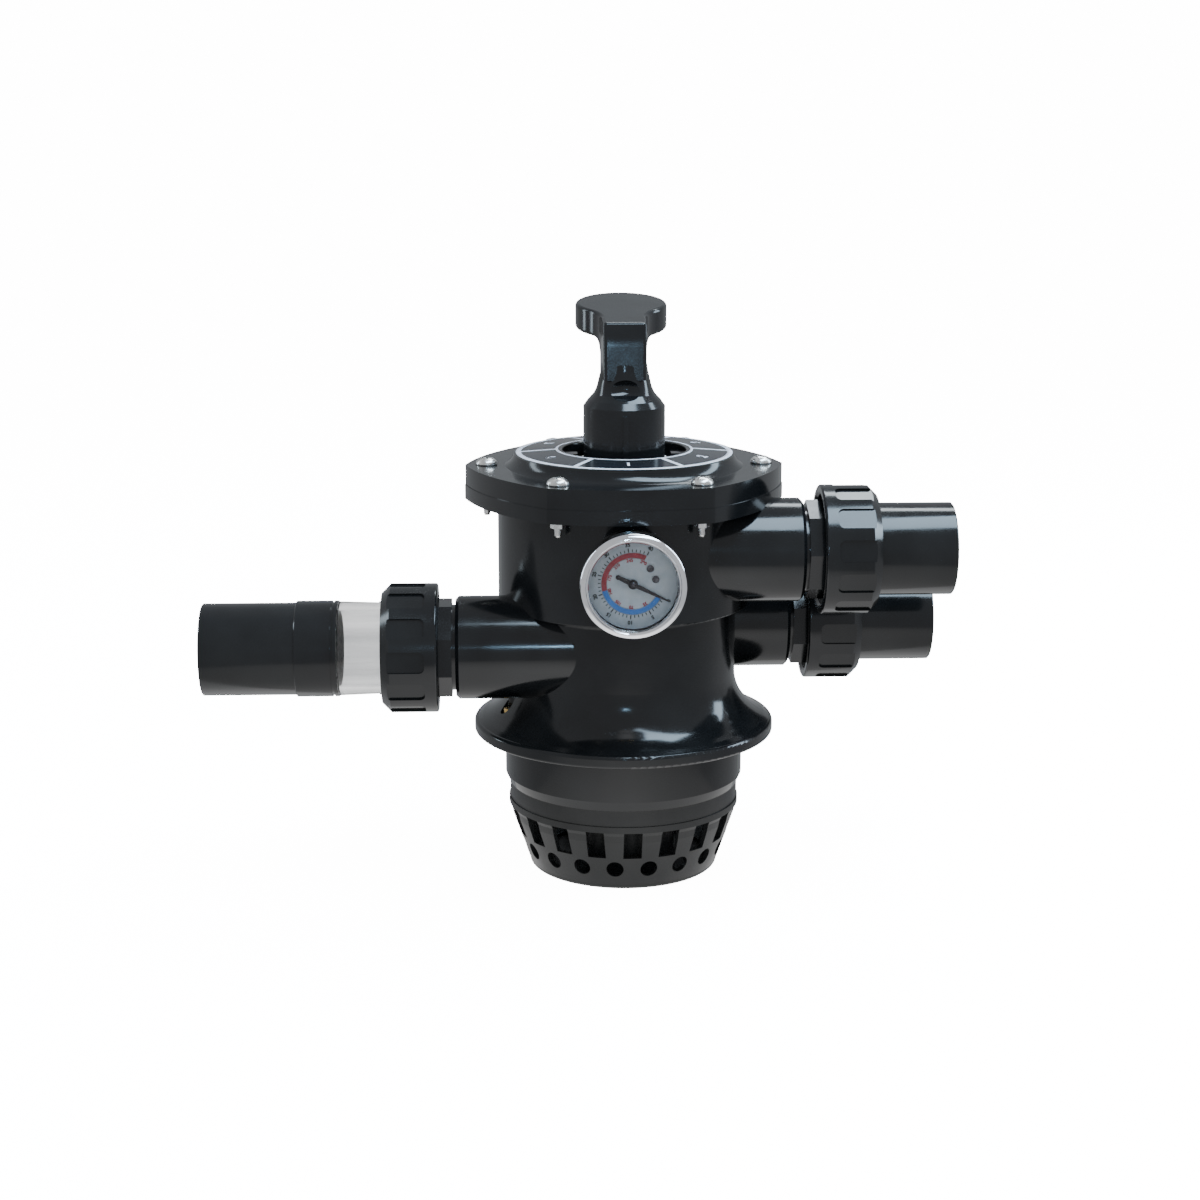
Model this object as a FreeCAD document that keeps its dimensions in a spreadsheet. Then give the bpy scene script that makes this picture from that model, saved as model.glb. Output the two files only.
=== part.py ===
import FreeCAD, Part
import math
import os
import Sketcher
from FreeCAD import Placement, Rotation, Vector

# Six-way top-mount multiport valve, in millimetres.
# Origin: valve axis at the underside of the clamp flange. +Z up, -Y towards the gauge,
# +X towards the pump and return unions, -X towards the waste union with the sight glass.

os.makedirs("parts", exist_ok=True)
doc = FreeCAD.newDocument("MultiportValve")

DIMENSIONS = {
    # neck, clamp flange and drum of the body
    "neck_r": 66.1, "neck_low": -24, "collar_r": 63.6, "neck_end": -29.5,
    "flange_r": 83.1, "flange_thick": 7, "waist_r": 61.7, "waist_wall": 4.7,
    "flare_r": 28, "flare_top": 35, "drum_r": 69.2, "drum_low": 72.9, "chamber_r": 63,
    "seat_low": 74, "seat_top": 80, "split_low": 130.3, "split": 138.1, "lid_top": 148.9,
    "riser_r": 31, "pipe_bore_r": 25.25, "riser_low": -26, "pipe_stop": 20, "riser_bore_r": 22,
    "sector_floor": 18, "floor_thick": 4, "partition": 4,
    # hexagonal joint with its six screws
    "hex_corner_r": 87, "hex_side_r": 135, "lid_inset": 0.4, "screw_circle_r": 75, "screw_r": 2,
    "screw_hole_r": 2.25, "screw_head_r": 5.9, "screw_head_high": 4.2, "nut_flats": 7,
    "nut_high": 3.2, "washer_r": 4.5, "washer_thick": 0.8, "thread_past_nut": 5.2,
    # dial and well on the lid
    "dial_foot_r": 65, "dial_r": 60.4, "dial_rim": 155.4, "dial_inner_r": 35.2,
    "dial_inner": 157.2, "well_r": 33.8, "well_floor": 150, "lug_in_r": 25.5, "lug_out_r": 33,
    "lug_wide": 8, "lug_top": 155, "label_thick": 0.4,
    # diverter and its stem
    "stem_r": 10, "stem_top": 183, "rotor_r": 60, "rotor_face": 81.05, "rotor_top": 87,
    "hood_top": 103, "rotor_seat": 109, "seat_washer": 2, "boss_low": 138,
    "spring_r": 15.5, "spring_wire_r": 1.5, "spring_turns": 4, "running_gap": 0.05,
    # lever handle
    "thrust_washer": 2, "hub_r": 22.3, "hub_shoulder": 181, "pin_r": 3, "pin_height": 177,
    "paddle_r": 25.4, "paddle_y": 40, "paddle_slope": 7.5,
    # port hubs
    "hub_port_r": 28, "port_bore_r": 20.5, "left_face": 92.3, "right_face": 94.7,
    "front_port_y": -27, "rear_port_y": 38, "low_port_z": 53.2, "pump_port_z": 106,
    # union fittings, measured outwards from a hub's face
    "thread_r": 23.9, "thread_in": 22, "neck_gap": 2, "octagon_r": 27, "head_start": 12,
    "head_end": 24, "head_r": 30, "tail_flange": 5, "tail_flange_r": 29.4, "shank_r": 25.3,
    "tail_r": 25, "tail_bore_r": 21.5, "tail_end": 81.3, "nut_r": 35, "nut_start": 9.4,
    "nut_end": 39.8, "nut_chamfer": 5, "nut_ring": 6.8, "flute_deep": 1.6, "flute_wide": 11.6,
    "glass_end": 78, "collar_start": 63.1, "collar_end": 85.9, "collar_out_r": 26,
    "spigot_end": 136.5,
    # pressure gauge, measured forwards from the valve axis
    "gauge_z": 103, "gauge_boss_r": 12, "gauge_boss_end": 76, "gauge_thread_r": 6.5,
    "case_back": 80, "case_front": 99, "case_r": 25.5, "case_wall": 1, "bezel_r": 27.5,
    "bezel_back": 96, "bezel_front": 105, "bezel_in_r": 22.8, "dial_plane": 95.3,
    # diffuser basket
    "basket_low": -78, "basket_foot_r": 50, "basket_wall": 3, "lip_r": 64.2,
    "slot_count": 19, "slot_wide": 10, "slot_low": -58, "slot_high": -42, "hole_r": 4.7,
    "hole_z": -65,
    # bleed screw
    "bleed_circle_r": 66.5, "bleed_angle": 195.7, "bleed_recess_r": 4.6, "bleed_floor": 12,
    "bleed_head_r": 2.75,
}


class Size:
    """A length that carries its value and the spreadsheet formula that it comes from."""

    def __init__(self, value, formula):
        self.value = float(value)
        self.formula = formula

    def __add__(self, other):
        other = size(other)
        return Size(self.value + other.value, f"({self.formula} + {other.formula})")

    def __sub__(self, other):
        other = size(other)
        return Size(self.value - other.value, f"({self.formula} - {other.formula})")

    def __rsub__(self, other):
        return size(other) - self

    def __mul__(self, number):
        return Size(self.value * number, f"({self.formula} * {number})")

    def __neg__(self):
        return Size(-self.value, f"(0 - {self.formula})")

    __radd__ = __add__
    __rmul__ = __mul__


def size(thing):
    return thing if isinstance(thing, Size) else Size(thing, f"({thing})")


class Sheet:
    """The driving dimensions, kept in a spreadsheet and read back by name."""

    def __init__(self, document, table):
        self.table = table
        cells = document.addObject("Spreadsheet::Sheet", "Dims")
        for row, (alias, value) in enumerate(table.items(), start=1):
            cells.set(f"A{row}", alias)
            cells.set(f"B{row}", str(value))
            cells.setAlias(f"B{row}", alias)
        document.recompute()

    def __getattr__(self, alias):
        return Size(self.table[alias], f"Dims.{alias}")


d = Sheet(doc, DIMENSIONS)
nodes = {}


# ---------------------------------------------------------------- building blocks

def bind(obj, prop, length):
    length = size(length)
    target = obj
    for name in prop.split(".")[:-1]:
        target = getattr(target, name)
    if "." not in prop:
        setattr(obj, prop, length.value)
    obj.setExpression(prop, length.formula)
    return obj


def new_body(label, placement=None):
    body = doc.addObject("PartDesign::Body", label)
    body.Label = label
    if placement:
        body.Placement = placement
    nodes[label] = body
    return body


def keep(obj, label, placement=None):
    obj.Label = label
    if placement:
        obj.Placement = placement
    nodes[label] = obj
    return obj


def arc_between(start, end, radius, side):
    """Arc from start to end whose centre lies to the left (side 1) or right (side -1)."""
    chord = end - start
    half = chord.Length / 2
    rise = math.sqrt(max(radius ** 2 - half ** 2, 0.0))
    normal = Vector(-chord.y, chord.x, 0).normalize()
    centre = (start + end) * 0.5 + normal * rise * side
    a0 = math.atan2(start.y - centre.y, start.x - centre.x)
    a1 = math.atan2(end.y - centre.y, end.x - centre.x)
    circle = Part.Circle(centre, Vector(0, 0, 1), radius)
    return Part.ArcOfCircle(circle, a0, a1) if side > 0 else Part.ArcOfCircle(circle, a1, a0)


def draw_outline(sketch, corners):
    """Closed outline. A corner is (x, y), or (x, y, radius, side) where an arc ends at it."""
    spots = [(size(c[0]), size(c[1])) for c in corners]
    where = [Vector(x.value, y.value, 0) for x, y in spots]
    ends = []
    for i in range(len(corners)):
        nxt = (i + 1) % len(corners)
        if len(corners[nxt]) == 4:
            radius, side = size(corners[nxt][2]), corners[nxt][3]
            curve = arc_between(where[i], where[nxt], radius.value, side)
            geo = sketch.addGeometry(curve, False)
            at = sketch.addConstraint(Sketcher.Constraint("Radius", geo, radius.value))
            sketch.setExpression(f"Constraints[{at}]", radius.formula)
            ends.append((geo, 1, 2) if side > 0 else (geo, 2, 1))
        else:
            geo = sketch.addGeometry(Part.LineSegment(where[i], where[nxt]), False)
            ends.append((geo, 1, 2))
    for i, (geo, first, last) in enumerate(ends):
        other, start, _ = ends[(i + 1) % len(ends)]
        sketch.addConstraint(Sketcher.Constraint("Coincident", geo, last, other, start))
        for kind, axis, length in (("DistanceX", -2, spots[i][0]), ("DistanceY", -1, spots[i][1])):
            if abs(length.value) < 1e-9:
                sketch.addConstraint(Sketcher.Constraint("PointOnObject", geo, first, axis))
                continue
            at = sketch.addConstraint(Sketcher.Constraint(kind, -1, 1, geo, first, length.value))
            sketch.setExpression(f"Constraints[{at}]", length.formula)


def draw_circle(sketch, x, y, radius):
    x, y, radius = size(x), size(y), size(radius)
    circle = Part.Circle(Vector(x.value, y.value, 0), Vector(0, 0, 1), radius.value)
    geo = sketch.addGeometry(circle, False)
    at = sketch.addConstraint(Sketcher.Constraint("Radius", geo, radius.value))
    sketch.setExpression(f"Constraints[{at}]", radius.formula)
    for kind, axis, length in (("DistanceX", -2, x), ("DistanceY", -1, y)):
        if abs(length.value) < 1e-9:
            sketch.addConstraint(Sketcher.Constraint("PointOnObject", geo, 3, axis))
            continue
        at = sketch.addConstraint(Sketcher.Constraint(kind, -1, 1, geo, 3, length.value))
        sketch.setExpression(f"Constraints[{at}]", length.formula)


def new_sketch(body, plane, height=0):
    """Sketch on one of the body's origin planes, lifted by height along its normal."""
    sketch = body.newObject("Sketcher::SketchObject", "Outline")
    role = plane + "_Plane"
    support = [f for f in body.Origin.OriginFeatures if f.Role == role][0]
    sketch.AttachmentSupport = [(support, "")]
    sketch.MapMode = "FlatFace"
    sketch.setExpression("AttachmentOffset.Base.z", size(height).formula)
    return sketch


def revolve(body, corners, plane="XZ", axis="V_Axis", angle=360, cut=False):
    sketch = new_sketch(body, plane)
    draw_outline(sketch, corners)
    kind = "PartDesign::Groove" if cut else "PartDesign::Revolution"
    feature = body.newObject(kind, "Turned")
    feature.Profile = sketch
    feature.ReferenceAxis = (sketch, [axis])
    feature.Angle = angle
    return feature


def slab(body, draw, low, high, plane="XY", cut=False):
    """Pad or pocket between two heights, from a sketch drawn half way up."""
    low, high = size(low), size(high)
    sketch = new_sketch(body, plane, (low + high) * 0.5)
    draw(sketch)
    feature = body.newObject("PartDesign::Pocket" if cut else "PartDesign::Pad", "Slab")
    feature.Profile = sketch
    bind(feature, "Length", high - low)
    feature.Midplane = True
    return feature


ALONG = {"X": Rotation(Vector(0, 0, 1), Vector(1, 0, 0)), "Z": Rotation(),
         "Y": Rotation(Vector(0, 0, 1), Vector(0, 1, 0))}


def place(feature, base, rotation=None):
    """Put a primitive at base, with each coordinate bound to its formula."""
    base = [size(b) for b in base]
    feature.Placement = Placement(Vector(*[b.value for b in base]), rotation or Rotation())
    for axis, length in zip("xyz", base):
        feature.setExpression(f"Placement.Base.{axis}", length.formula)
    return feature


def rod(body, radius, base, length, along="Z", cut=False):
    """Round bar (or hole) that starts at base and runs along an axis."""
    kind = "PartDesign::SubtractiveCylinder" if cut else "PartDesign::AdditiveCylinder"
    feature = body.newObject(kind, "Rod")
    bind(feature, "Radius", radius)
    bind(feature, "Height", length)
    rotation = ALONG[along] if isinstance(along, str) else along
    return place(feature, base, rotation)


def block(body, low, high, turn=0, cut=False):
    """Box between two corners, turned by some degrees about the Z axis."""
    kind = "PartDesign::SubtractiveBox" if cut else "PartDesign::AdditiveBox"
    feature = body.newObject(kind, "Block")
    low, high = [size(v) for v in low], [size(v) for v in high]
    for prop, a, b in zip(("Length", "Width", "Height"), low, high):
        bind(feature, prop, b - a)
    if not turn:
        return place(feature, low)
    spin = Rotation(Vector(0, 0, 1), turn)
    corner = spin.multVec(Vector(*[v.value for v in low]))
    feature.Placement = Placement(corner, spin)
    c, s = math.cos(math.radians(turn)), math.sin(math.radians(turn))
    feature.setExpression("Placement.Base.x", (low[0] * c - low[1] * s).formula)
    feature.setExpression("Placement.Base.y", (low[0] * s + low[1] * c).formula)
    feature.setExpression("Placement.Base.z", low[2].formula)
    return feature


def repeat(body, feature, count, role="Z_Axis"):
    """Polar pattern of one feature about one of the body's axes."""
    pattern = body.newObject("PartDesign::PolarPattern", "Around")
    pattern.Originals = [feature]
    axis = [f for f in body.Origin.OriginFeatures if f.Role == role][0]
    pattern.Axis = (axis, [""])
    pattern.Angle = 360
    count = size(count)
    pattern.Occurrences = int(count.value)
    body.Tip = pattern
    return pattern


def ring(label, in_r, out_r, low, high, placement=None, axis="Z"):
    """Washer or O-ring in its squashed section."""
    body = new_body(label, placement)
    if axis == "Z":
        revolve(body, [(in_r, low), (out_r, low), (out_r, high), (in_r, high)])
    else:
        revolve(body, [(low, in_r), (high, in_r), (high, out_r), (low, out_r)], "XY", "H_Axis")
    return body


def soft_ring(label, in_r, out_r, low, high, placement=None):
    """Square-section O-ring with its corners cut, as it sits in its gland (axis Z)."""
    body = new_body(label, placement)
    c = 0.6
    revolve(body, [(in_r + c, low), (out_r - c, low), (out_r, low + c), (out_r, high - c),
                   (out_r - c, high), (in_r + c, high), (in_r, high - c), (in_r, low + c)])
    return body


def hexagon(centre, flats):
    """Corners of a hexagon whose flats face +Y and -Y."""
    r = flats * (1 / math.sqrt(3))
    return [(centre[0] + r * math.cos(math.radians(60 * i)),
             centre[1] + r * math.sin(math.radians(60 * i))) for i in range(6)]


def joint_plate(sketch, inset=0):
    """Six-cornered plate with bowed sides, one corner over each screw."""
    corners = []
    for i in range(6):
        a = math.radians(60 * i)
        reach = d.hex_corner_r - inset
        corners.append((reach * math.cos(a), reach * math.sin(a), d.hex_side_r, 1))
    draw_outline(sketch, corners)


def screw_holes(body, low, high):
    hole = rod(body, d.screw_hole_r, (d.screw_circle_r, 0, low), size(high) - low, cut=True)
    return repeat(body, hole, 6)


# ---------------------------------------------------------------- valve body

def build_valve_body():
    body = new_body("valve_body")
    flare_foot = d.flange_r - 4.6
    revolve(body, [
        (0, d.neck_end), (d.collar_r, d.neck_end), (d.neck_r, d.neck_low), (d.neck_r, 0),
        (d.flange_r - 1.5, 0), (d.flange_r, 1.5, 1.5, 1), (d.flange_r, d.flange_thick - 2),
        (d.flange_r - 2, d.flange_thick, 2, 1), (flare_foot, d.flange_thick + 1.6),
        (d.waist_r, d.flare_top, d.flare_r, -1), (d.waist_r, d.drum_low - 3),
        (d.waist_r + 3, d.drum_low, 3, -1), (d.drum_r - 0.8, d.drum_low),
        (d.drum_r, d.drum_low + 0.8, 0.8, 1), (d.drum_r, d.split), (0, d.split)])
    slab(body, joint_plate, d.split_low, d.split)
    port_hub(body, -1, d.left_face, d.front_port_y, d.low_port_z)
    port_hub(body, 1, d.right_face, d.front_port_y, d.pump_port_z)
    port_hub(body, 1, d.right_face, d.rear_port_y, d.low_port_z)
    rod(body, d.gauge_boss_r, (0, -d.gauge_boss_end, d.gauge_z), 20, "Y")
    hollow_body(body)
    return body


def port_hub(body, side, face, y, z):
    """Round hub from inside the wall out to its face, with a rounded rim and a domed root."""
    root = 12
    hub = body.newObject("PartDesign::AdditiveCylinder", "Hub")
    bind(hub, "Radius", d.hub_port_r)
    bind(hub, "Height", face - root - 1.8)
    place(hub, (root * side, y, z), Rotation(Vector(0, 0, 1), Vector(side, 0, 0)))
    rim = body.newObject("PartDesign::AdditiveCone", "Rim")
    bind(rim, "Radius1", d.hub_port_r)
    bind(rim, "Radius2", d.hub_port_r - 1.8)
    bind(rim, "Height", 1.8)
    place(rim, ((face - 1.8) * side, y, z), Rotation(Vector(0, 0, 1), Vector(side, 0, 0)))
    dome = body.newObject("PartDesign::AdditiveSphere", "Root")
    bind(dome, "Radius", d.hub_port_r)
    place(dome, (root * side, y, z))


def hollow_body(body):
    wall_r = d.waist_r - d.waist_wall
    revolve(body, [(0, d.seat_top), (d.chamber_r, d.seat_top), (d.chamber_r, d.split + 1),
                   (0, d.split + 1)], cut=True)
    revolve(body, [(d.riser_r, d.neck_end - 1), (60, d.neck_end - 1), (60, -14), (wall_r, -6),
                   (wall_r, d.seat_low), (d.riser_r, d.seat_low)], cut=True)
    revolve(body, [(0, d.neck_end - 1), (d.riser_r + 1, d.neck_end - 1),
                   (d.riser_r + 1, d.riser_low), (0, d.riser_low)], cut=True)
    wall = block(body, (d.riser_r - 2, d.partition * -0.5, d.sector_floor),
                 (wall_r + 2, d.partition * 0.5, d.seat_low + 2))
    repeat(body, wall, 6)
    floor_top = d.sector_floor + d.floor_thick
    for side, backwards in ((1, False), (-1, False), (-1, True)):
        low_r, high_r = (d.riser_r - 2) * side, (wall_r + 2) * side
        sector = revolve(body, [(low_r, d.sector_floor), (high_r, d.sector_floor),
                                (high_r, floor_top), (low_r, floor_top)], angle=60)
        sector.Reversed = backwards
    rod(body, d.pipe_bore_r, (0, 0, d.neck_end - 1), d.pipe_stop - d.neck_end + 1, cut=True)
    rod(body, d.riser_bore_r, (0, 0, 0), d.seat_low, cut=True)
    block(body, (d.riser_bore_r - 4, -11, 30), (d.riser_r + 3, 11, 66), turn=150, cut=True)
    revolve(body, spider_ring(0), cut=True)
    revolve(body, spider_ring(1), cut=True)
    windows = slab(body, seat_window, d.seat_low - 2, d.seat_top + 2, cut=True)
    repeat(body, windows, 6)
    spoke = block(body, (27, -2.6, d.seat_top - 2), (57, 2.6, d.seat_top + 1), cut=True)
    repeat(body, spoke, 6)
    rod(body, d.port_bore_r, (-d.left_face - 1, d.front_port_y, d.low_port_z), 55.3, "X", True)
    rod(body, d.thread_r, (-d.left_face - 1, d.front_port_y, d.low_port_z),
        d.thread_in + 1, "X", True)
    rod(body, d.port_bore_r, (45, d.front_port_y, d.pump_port_z), 51, "X", True)
    rod(body, d.thread_r, (d.right_face - d.thread_in, d.front_port_y, d.pump_port_z),
        d.thread_in + 1, "X", True)
    rod(body, d.port_bore_r, (38, d.rear_port_y, d.low_port_z), 58, "X", True)
    rod(body, d.thread_r, (d.right_face - d.thread_in, d.rear_port_y, d.low_port_z),
        d.thread_in + 1, "X", True)
    rod(body, d.gauge_thread_r, (0, -d.gauge_boss_end - 1, d.gauge_z), 18, "Y", True)
    revolve(body, [(65.2, d.split - 3), (68.2, d.split - 3), (68.2, d.split + 1),
                   (65.2, d.split + 1)], cut=True)
    revolve(body, [(70, -1), (76, -1), (76, 3.5), (70, 3.5)], cut=True)
    revolve(body, [(24, -22), (28.4, -22), (28.4, -17.8), (24, -17.8)], cut=True)
    angle = math.radians(DIMENSIONS["bleed_angle"])
    bx, by = d.bleed_circle_r * math.cos(angle), d.bleed_circle_r * math.sin(angle)
    rod(body, d.bleed_recess_r, (bx, by, d.bleed_floor), 14, cut=True)
    rod(body, 2.05, (bx, by, 3), 12, cut=True)
    screw_holes(body, d.split_low - 1, d.split + 1)


def seat_window(sketch):
    draw_outline(sketch, [(34, -12.5), (49, -19.5), (49, 19.5), (34, 12.5)])


def spider_ring(which):
    in_r, out_r = ((26.2, 31.4), (54, 58.5))[which]
    low = d.seat_top - 2
    return [(in_r, low), (out_r, low), (out_r, d.seat_top + 1), (in_r, d.seat_top + 1)]


# ---------------------------------------------------------------- lid, label and screws

def build_lid():
    body = new_body("lid")
    slab(body, lambda s: joint_plate(s, d.lid_inset), d.split, d.lid_top)
    revolve(body, [
        (0, d.split - 4), (d.chamber_r - 0.2, d.split - 4), (d.chamber_r - 0.2, d.split),
        (d.dial_foot_r, d.split), (d.dial_foot_r, d.lid_top), (d.dial_r, d.dial_rim, 9, -1),
        (d.dial_r - 1.2, d.dial_rim + 0.2), (d.dial_r - 1.3, d.dial_rim - 0.2),
        (d.dial_inner_r + 0.8, d.dial_inner - 0.4), (d.dial_inner_r + 0.7, d.dial_inner),
        (d.well_r + 0.4, d.dial_inner), (d.well_r, d.dial_inner - 0.4),
        (d.well_r, d.well_floor), (0, d.well_floor)])
    revolve(body, [
        (20, d.split - 5), (56, d.split - 5), (56, 147), (54, 150), (41, 150), (37, 145),
        (20, 145)], cut=True)
    revolve(body, [(0, d.split - 5), (21, d.split - 5), (21, d.boss_low), (0, d.boss_low)],
            cut=True)
    rod(body, d.stem_r + d.running_gap, (0, 0, d.split - 5), 20, cut=True)
    lug = block(body, (d.lug_in_r, d.lug_wide * -0.5, d.well_floor - 1),
                (d.lug_out_r, d.lug_wide * 0.5, d.lug_top))
    repeat(body, lug, 6)
    screw_holes(body, d.split - 1, d.lid_top + 1)


def build_label():
    body = new_body("label_plate")
    revolve(body, [
        (d.dial_r - 1.3, d.dial_rim - 0.2), (d.dial_r - 1.3, d.dial_rim - 0.2 + d.label_thick),
        (d.dial_inner_r + 0.8, d.dial_inner - 0.4 + d.label_thick),
        (d.dial_inner_r + 0.8, d.dial_inner - 0.4)])


def build_lid_hardware():
    top, bottom = d.lid_top, d.split_low
    screws = new_body("lid_screws")
    nut_seat = bottom - d.washer_thick
    shank = rod(screws, d.screw_r, (d.screw_circle_r, 0, nut_seat - d.nut_high - d.thread_past_nut),
                top - nut_seat + d.nut_high + d.thread_past_nut + 0.5)
    repeat(screws, shank, 6)
    head = slab(screws, lambda s: draw_circle(s, d.screw_circle_r, 0, d.screw_head_r),
                top, top + d.screw_head_high * 0.45)
    repeat(screws, head, 6)
    crown = screws.newObject("PartDesign::AdditiveCone", "Crown")
    bind(crown, "Radius1", d.screw_head_r)
    bind(crown, "Radius2", d.screw_head_r * 0.5)
    bind(crown, "Height", d.screw_head_high * 0.55)
    place(crown, (d.screw_circle_r, 0, top + d.screw_head_high * 0.45))
    repeat(screws, crown, 6)
    for along, across in ((1.6, 0.5), (0.5, 1.6)):
        cross = block(screws, (d.screw_circle_r - along * 1.6, -across * 1.6, top + 2),
                      (d.screw_circle_r + along * 1.6, across * 1.6, top + 6), cut=True)
        repeat(screws, cross, 6)
    washers = new_body("lid_washers")
    disc = slab(washers, lambda s: draw_circle(s, d.screw_circle_r, 0, d.washer_r),
                bottom - d.washer_thick, bottom)
    repeat(washers, disc, 6)
    hole = rod(washers, d.screw_hole_r, (d.screw_circle_r, 0, bottom - 3), 6, cut=True)
    repeat(washers, hole, 6)
    nuts = new_body("lid_nuts")
    piece = slab(nuts, lambda s: draw_outline(s, hexagon((d.screw_circle_r, size(0)), d.nut_flats)),
                 nut_seat - d.nut_high, nut_seat)
    repeat(nuts, piece, 6)
    tap = rod(nuts, d.screw_r, (d.screw_circle_r, 0, nut_seat - 6), 9, cut=True)
    repeat(nuts, tap, 6)


# ---------------------------------------------------------------- diverter, spring and handle

def build_rotor():
    body = new_body("rotor")
    low = d.rotor_face
    revolve(body, [
        (0, low), (d.rotor_r, low), (d.rotor_r, d.rotor_top), (24, d.rotor_top),
        (19, d.rotor_top + 9), (19, d.rotor_seat), (d.stem_r, d.rotor_seat),
        (d.stem_r, d.stem_top - 1), (d.stem_r - 1, d.stem_top), (0, d.stem_top)])
    hood = revolve(body, [(18, low + 1), (56, low + 1), (56, d.hood_top - 6),
                          (50, d.hood_top, 6, 1), (18, d.hood_top)], angle=170)
    inner = revolve(body, [(33, low - 1), (52.5, low - 1), (52.5, d.hood_top - 8),
                           (48.5, d.hood_top - 4, 4, 1), (33, d.hood_top - 4)],
                    angle=158, cut=True)
    sweep_from(hood, inner)
    slab(body, rotor_window, low - 1, d.rotor_top + 1, cut=True)
    for height in (141, 145.5):
        revolve(body, [(7.9, height), (12, height), (12, height + 2.6), (7.9, height + 2.6)],
                cut=True)
    rod(body, d.pin_r + d.running_gap, (-15, 0, d.pin_height), 30, "X", True)
    for number, height in enumerate((141, 145.5), start=1):
        name = "stem_seal_low" if number == 1 else "stem_seal_high"
        soft_ring(name, size(7.9), d.stem_r + 0.02, size(height), size(height) + 2.6)


def sweep_from(hood, inner):
    """The hood covers half of the disc; its hollow stops 6 degrees short at each end."""
    for feature, offset in ((hood, 5), (inner, 11)):
        sketch = feature.Profile[0]
        sketch.AttachmentOffset = Placement(Vector(0, 0, 0), Rotation(Vector(0, 1, 0), -offset))


def rotor_window(sketch):
    """Inlet window towards the front, one sixth of the disc."""
    draw_outline(sketch, [(-12.5, -34), (-19.5, -49), (19.5, -49), (12.5, -34)])


def build_spring():
    low, high = d.rotor_seat + d.seat_washer, d.boss_low - d.running_gap - d.seat_washer
    ring("spring_seat_low", d.stem_r + 0.3, size(18.5), d.rotor_seat, low)
    ring("spring_seat_high", d.stem_r + 0.3, size(18.5), high, high + d.seat_washer)
    helix = doc.addObject("Part::Helix", "SpringPath")
    wire = d.spring_wire_r
    bind(helix, "Height", high - low - wire * 2 - 0.2)
    helix.Pitch = (high - low - wire * 2 - 0.2).value / DIMENSIONS["spring_turns"]
    helix.setExpression("Pitch", f"{(high - low - wire * 2 - 0.2).formula} / Dims.spring_turns")
    bind(helix, "Radius", d.spring_r)
    helix.SegmentLength = 1
    place(helix, (0, 0, low + wire + 0.1))
    section = doc.addObject("Part::Circle", "SpringSection")
    bind(section, "Radius", wire)
    place(section, (d.spring_r, 0, low + wire + 0.1), Rotation(Vector(1, 0, 0), 90))
    coil = doc.addObject("Part::Sweep", "rotor_spring")
    coil.Sections = [section]
    coil.Spine = helix
    coil.Solid = True
    coil.Frenet = True
    keep(coil, "rotor_spring")


def loose_sketch(name, plane_rotation, corners):
    sketch = doc.addObject("Sketcher::SketchObject", name)
    sketch.Placement = Placement(Vector(0, 0, 0), plane_rotation)
    draw_outline(sketch, corners)
    return sketch


def extrude(sketch, direction, length, midplane=False):
    solid = doc.addObject("Part::Extrusion", sketch.Name + "Solid")
    solid.Base = sketch
    solid.DirMode = "Custom"
    solid.Dir = direction
    bind(solid, "LengthFwd", length)
    solid.Solid = True
    solid.Symmetric = midplane
    return solid


def sharp_edges(shape, above):
    """Numbers of the edges above a height where two faces meet at an angle."""
    numbers = []
    for number, edge in enumerate(shape.Edges, start=1):
        middle = edge.valueAt((edge.FirstParameter + edge.LastParameter) / 2)
        normals = [face.normalAt(*face.Surface.parameter(middle))
                   for face in shape.ancestorsOfType(edge, Part.Face)]
        if middle.z > above and len(normals) == 2 and normals[0].getAngle(normals[1]) > 0.2:
            numbers.append(number)
    return numbers


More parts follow.
